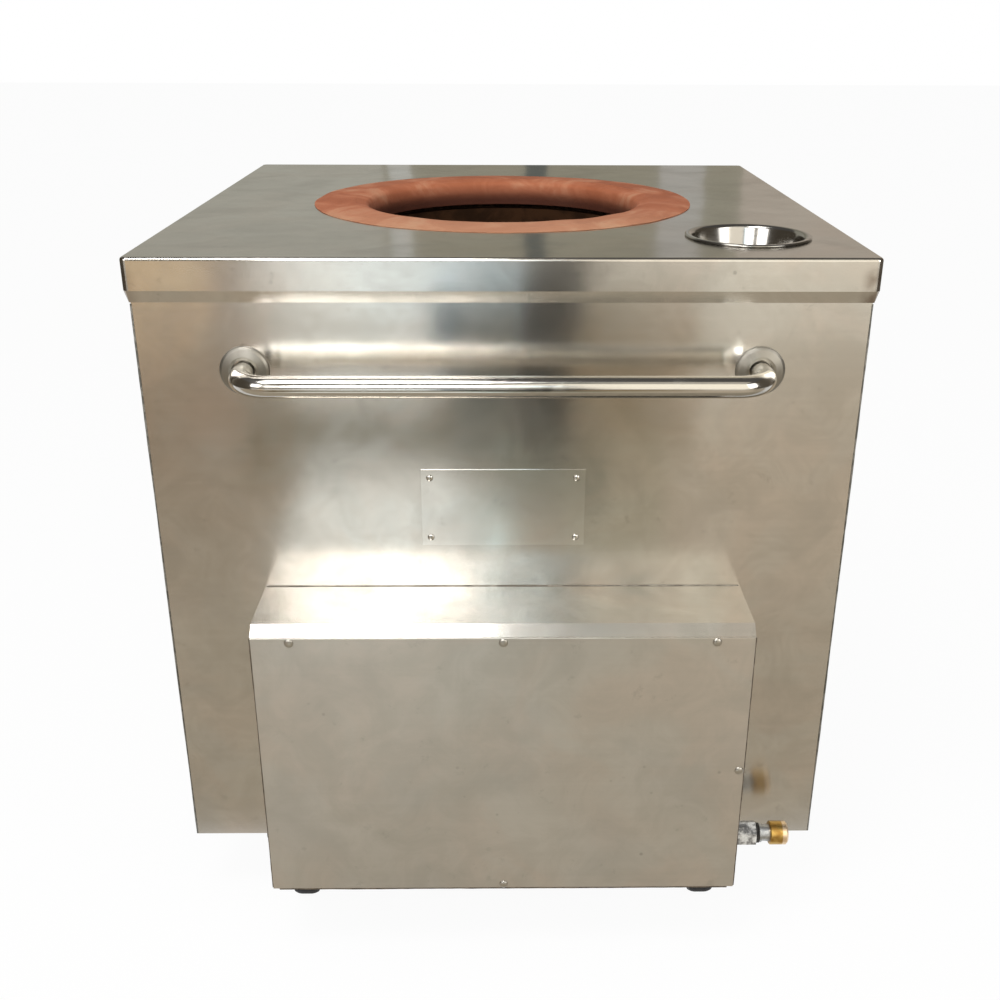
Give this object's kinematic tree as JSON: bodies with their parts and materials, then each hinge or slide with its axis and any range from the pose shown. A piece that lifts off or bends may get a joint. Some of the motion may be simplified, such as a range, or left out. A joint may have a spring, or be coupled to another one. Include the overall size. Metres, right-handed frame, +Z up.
{
  "type": "gas tandoor oven",
  "caption": "Square stainless-steel gas tandoor on swivel casters, with a round clay-lipped mouth, inner pot, water bowl, push handle and screwed-on burner box.",
  "frame": {"origin": "on the floor, at the middle of the object's box in plan", "axes": "+Z up, front (burner box, handle) faces -Y, +X to the right as seen from the front"},
  "size_m": [0.8636, 0.9718, 0.92],
  "materials": {
    "stainless_brushed": "brushed, handled and smudged, soft reflections",
    "stainless_polished": "polished stainless tube and pressings",
    "nameplate": "fine satin, bare",
    "terracotta": "hand-smoothed unglazed clay, matt",
    "ceramic_fibre": "needled white fibre",
    "pot_steel": "heat-darkened steel plate",
    "mild_steel": "grey primer",
    "zinc_plated": "bright zinc",
    "galvanised": "galvanised pipe with white sealant",
    "brass": "machined",
    "cast_iron": "rough cast",
    "valve_alloy": "die-cast, matt",
    "aluminium_tube": "drawn tube",
    "knob_black": "moulded",
    "button_red": "moulded",
    "wheel_black": "solid wheel"
  },
  "bodies": {
    "cabinet": {"top_cover": "stainless_brushed", "front_panel": "stainless_brushed", "left_panel": "stainless_brushed", "right_panel": "stainless_brushed", "back_panel": "stainless_brushed", "burner_hood": "stainless_brushed", "burner_cover": "stainless_brushed", "handle_bar": "stainless_polished", "left_handle_flange": "stainless_polished", "right_handle_flange": "stainless_polished", "cover_screws": "stainless_polished", "plate_pins": "stainless_polished", "name_plate": "nameplate", "mouth_ring": "terracotta", "mouth_rope": "ceramic_fibre", "pot_lagging": "ceramic_fibre", "cabinet_wool": "ceramic_fibre", "inner_pot": "pot_steel", "flame_spreader": "pot_steel", "pot_stand": "pot_steel", "base_frame": "mild_steel", "top_frame": "mild_steel", "corner_posts": "mild_steel", "left_rail": "mild_steel", "right_rail": "mild_steel", "floor_sheet": "mild_steel", "steel_drum": "mild_steel", "handle_studs": "zinc_plated", "handle_backings": "zinc_plated", "handle_nuts": "zinc_plated", "caster_plates": "zinc_plated", "caster_bolts": "zinc_plated", "inlet_pipe": "galvanised", "inlet_union": "galvanised", "inlet_adapter": "galvanised", "brass_inlet": "brass", "gas_orifice": "brass", "burner_head": "cast_iron", "mixing_tube": "cast_iron", "valve_body": "valve_alloy", "manifold_pipe": "aluminium_tube", "pilot_burner": "aluminium_tube"},
    "water_bowl": {"water_bowl": "stainless_polished"},
    "gas_knob": {"gas_knob": "knob_black"},
    "pilot_button": {"pilot_button": "button_red"},
    "air_shutter": {"air_shutter": "cast_iron"},
    "fork_front_left": {"caster_fork_front_left": "zinc_plated", "caster_axle_front_left": "zinc_plated"},
    "wheel_front_left": {"caster_wheel_front_left": "wheel_black"},
    "fork_front_right": {"caster_fork_front_right": "zinc_plated", "caster_axle_front_right": "zinc_plated"},
    "wheel_front_right": {"caster_wheel_front_right": "wheel_black"},
    "fork_rear_left": {"caster_fork_rear_left": "zinc_plated", "caster_axle_rear_left": "zinc_plated"},
    "wheel_rear_left": {"caster_wheel_rear_left": "wheel_black"},
    "fork_rear_right": {"caster_fork_rear_right": "zinc_plated", "caster_axle_rear_right": "zinc_plated"},
    "wheel_rear_right": {"caster_wheel_rear_right": "wheel_black"}
  },
  "joints": [
    {"name": "bowl_lift", "type": "slide", "parent": "cabinet", "child": "water_bowl", "axis": [0, 0, 1], "range_m": [0, 0.12]},
    {"name": "knob_turn", "type": "hinge", "parent": "cabinet", "child": "gas_knob", "pos_m": [0.122, -0.45125, 0.1564], "axis": [0, -1, 0], "range_deg": [0, 90]},
    {"name": "pilot_push", "type": "slide", "parent": "cabinet", "child": "pilot_button", "axis": [0, 1, 0], "range_m": [0, 0.004], "stiffness_N_per_m": 600},
    {"name": "shutter_turn", "type": "hinge", "parent": "cabinet", "child": "air_shutter", "pos_m": [0, -0.39725, 0.1564], "axis": [0, -1, 0], "range_deg": [0, 60]},
    {"name": "swivel_front_left", "type": "hinge", "parent": "cabinet", "child": "fork_front_left", "pos_m": [-0.28, -0.31665, 0.0931], "axis": [0, 0, 1], "continuous": true},
    {"name": "roll_front_left", "type": "hinge", "parent": "fork_front_left", "child": "wheel_front_left", "pos_m": [-0.28, -0.34865, 0.0381], "axis": [1, 0, 0], "continuous": true},
    {"name": "swivel_front_right", "type": "hinge", "parent": "cabinet", "child": "fork_front_right", "pos_m": [0.28, -0.31665, 0.0931], "axis": [0, 0, 1], "continuous": true},
    {"name": "roll_front_right", "type": "hinge", "parent": "fork_front_right", "child": "wheel_front_right", "pos_m": [0.28, -0.34865, 0.0381], "axis": [1, 0, 0], "continuous": true},
    {"name": "swivel_rear_left", "type": "hinge", "parent": "cabinet", "child": "fork_rear_left", "pos_m": [-0.28, 0.42475, 0.0931], "axis": [0, 0, 1], "continuous": true},
    {"name": "roll_rear_left", "type": "hinge", "parent": "fork_rear_left", "child": "wheel_rear_left", "pos_m": [-0.28, 0.39275, 0.0381], "axis": [1, 0, 0], "continuous": true},
    {"name": "swivel_rear_right", "type": "hinge", "parent": "cabinet", "child": "fork_rear_right", "pos_m": [0.28, 0.42475, 0.0931], "axis": [0, 0, 1], "continuous": true},
    {"name": "roll_rear_right", "type": "hinge", "parent": "fork_rear_right", "child": "wheel_rear_right", "pos_m": [0.28, 0.39275, 0.0381], "axis": [1, 0, 0], "continuous": true}
  ]
}
